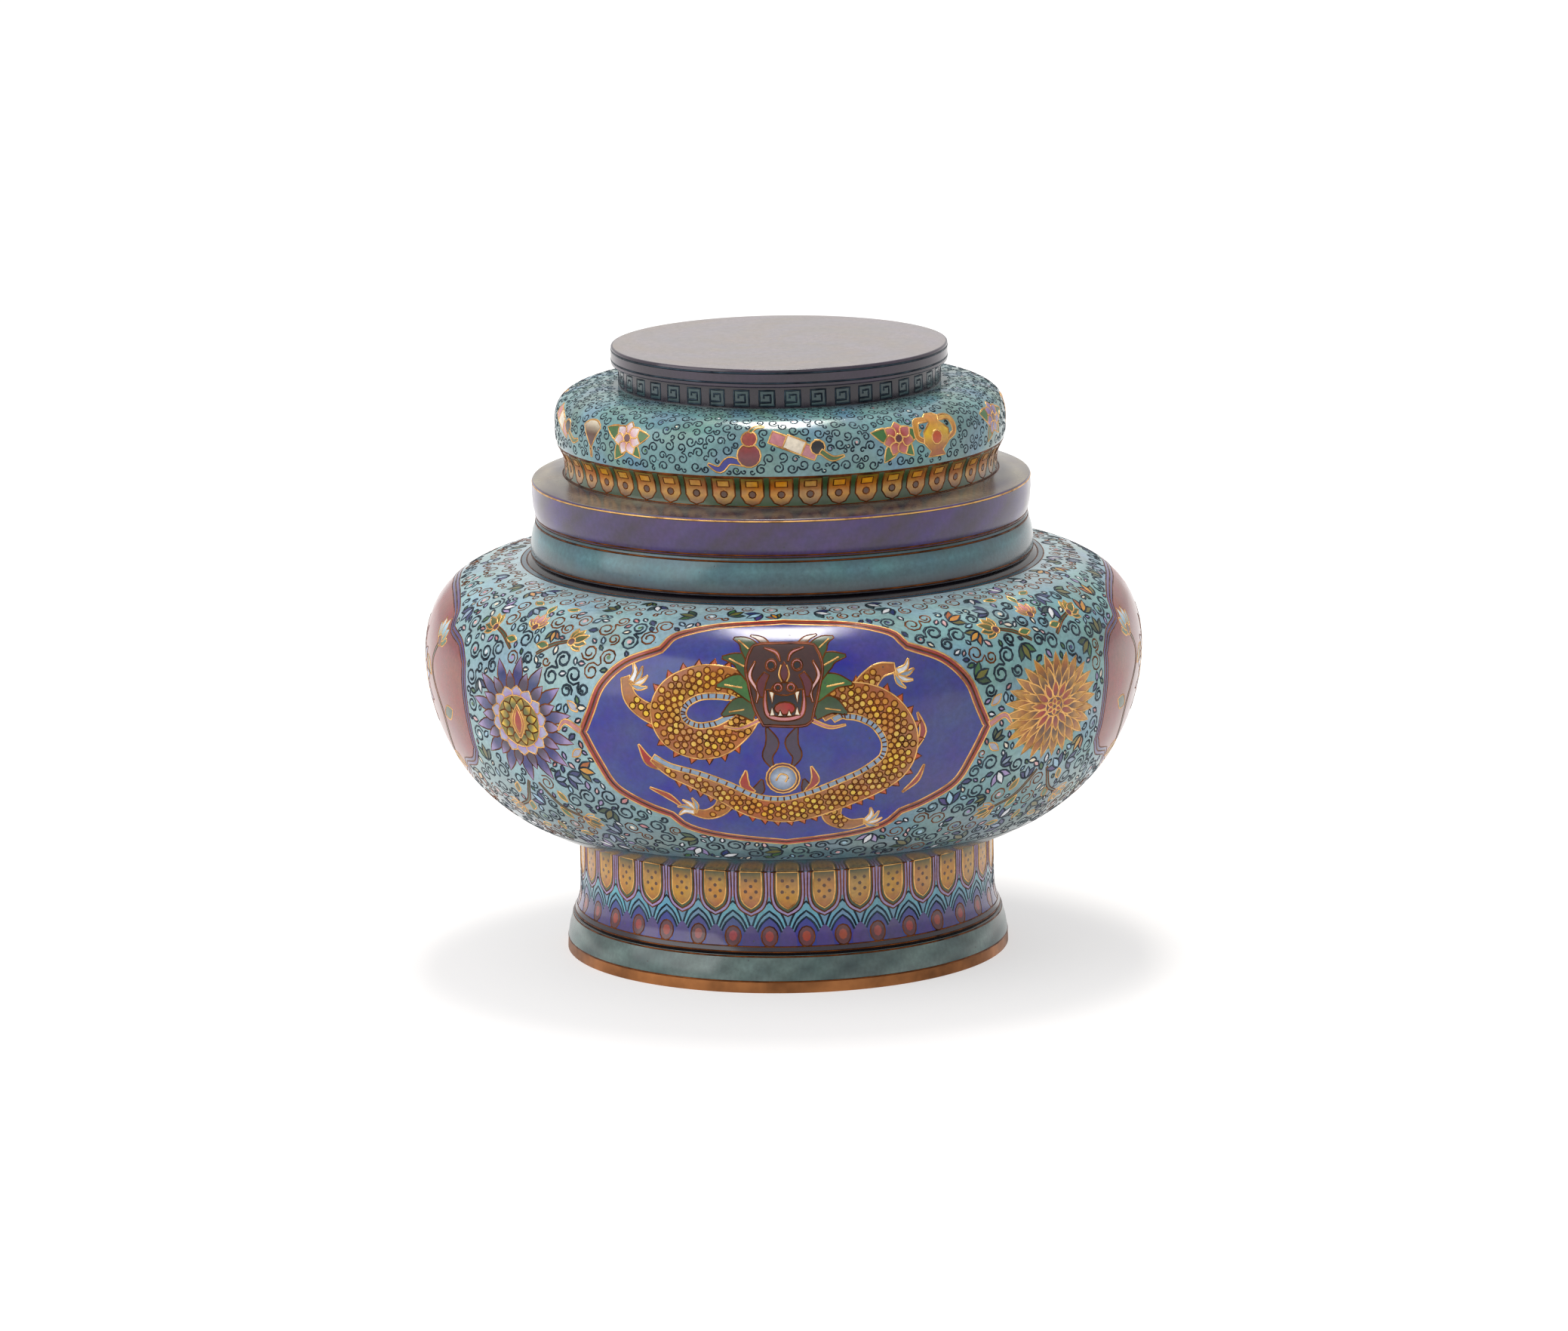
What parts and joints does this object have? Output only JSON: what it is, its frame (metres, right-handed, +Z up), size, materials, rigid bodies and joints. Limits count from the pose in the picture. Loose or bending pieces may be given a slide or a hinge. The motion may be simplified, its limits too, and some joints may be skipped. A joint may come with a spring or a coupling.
{
  "type": "cloisonne lidded jar",
  "caption": "Squat round enamelled copper jar on a ring foot, with a lift-off stepped cover ending in a flat disc; an ornament that holds small dry things.",
  "frame": {"origin": "middle of the foot ring's underside, on the surface that the jar stands on", "axes": "+Z up along the axis that jar and lid are turned about; -Y is the side with the dragon panel that faces the viewer"},
  "size_m": [0.184, 0.184, 0.157],
  "materials": {
    "jar_enamel": "polished cloisonne enamel on copper, turquoise ground with blue and coral panels",
    "lid_enamel": "polished cloisonne enamel on copper, purple and turquoise bands",
    "gilt_copper": "gilt copper wire and rims, worn to copper on the foot edge"
  },
  "bodies": {
    "root": {"jar": "jar_enamel", "lid": "lid_enamel"}
  },
  "joints": []
}
